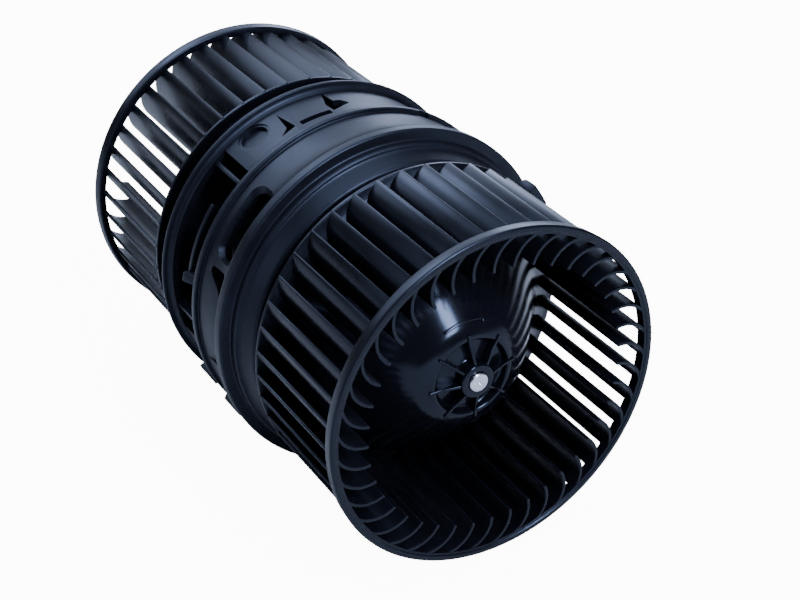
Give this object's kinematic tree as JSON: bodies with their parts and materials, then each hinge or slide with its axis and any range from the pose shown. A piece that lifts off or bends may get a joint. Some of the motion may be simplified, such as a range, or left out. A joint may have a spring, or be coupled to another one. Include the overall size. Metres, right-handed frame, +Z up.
{
  "type": "cabin blower motor",
  "caption": "Double-ended cabin blower: a moulded motor carrier with seat ring and catches, and a squirrel-cage fan wheel on each end of the shaft.",
  "frame": {"origin": "centre of the seat ring's land, on the shaft axis", "axes": "+Y along the shaft from the near wheel to the far wheel, +Z up"},
  "size_m": [0.148, 0.218, 0.1484],
  "materials": {
    "black_plastic": "satin moulded, near black",
    "carrier_plastic": "satin moulded, near black",
    "rubber": "matte",
    "zinc_steel": "zinc coated, satin",
    "bronze": "sintered, dull",
    "spring_steel": "satin",
    "ferrite": "dull grey, fired",
    "core_steel": "laminated",
    "copper": "enamelled wire and turned bars",
    "shaft_steel": "ground, bright",
    "card_plastic": "moulded phenolic, dull brown",
    "carbon": "pressed carbon, dull",
    "tin_brass": "tin plated, satin"
  },
  "bodies": {
    "carrier": {"near_housing": "carrier_plastic", "far_housing": "carrier_plastic", "near_top_damper": "rubber", "near_left_damper": "rubber", "near_right_damper": "rubber", "far_top_damper": "rubber", "far_left_damper": "rubber", "far_right_damper": "rubber", "motor_can": "zinc_steel", "end_plate": "zinc_steel", "near_bearing": "bronze", "far_bearing": "bronze", "near_bearing_retainer": "spring_steel", "far_bearing_retainer": "spring_steel", "upper_magnet": "ferrite", "lower_magnet": "ferrite", "left_magnet_spring": "spring_steel", "right_magnet_spring": "spring_steel", "brush_card": "card_plastic", "upper_brush": "carbon", "lower_brush": "carbon", "upper_brush_spring": "spring_steel", "lower_brush_spring": "spring_steel", "plus_terminal": "tin_brass", "minus_terminal": "tin_brass"},
    "rotor": {"near_wheel": "black_plastic", "far_wheel": "black_plastic", "motor_shaft": "shaft_steel", "armature_core": "core_steel", "armature_winding": "copper", "commutator": "copper"}
  },
  "joints": [
    {"name": "rotor_spin", "type": "hinge", "parent": "carrier", "child": "rotor", "pos_m": [0, 0.025, 0], "axis": [0, 1, 0], "continuous": true}
  ]
}
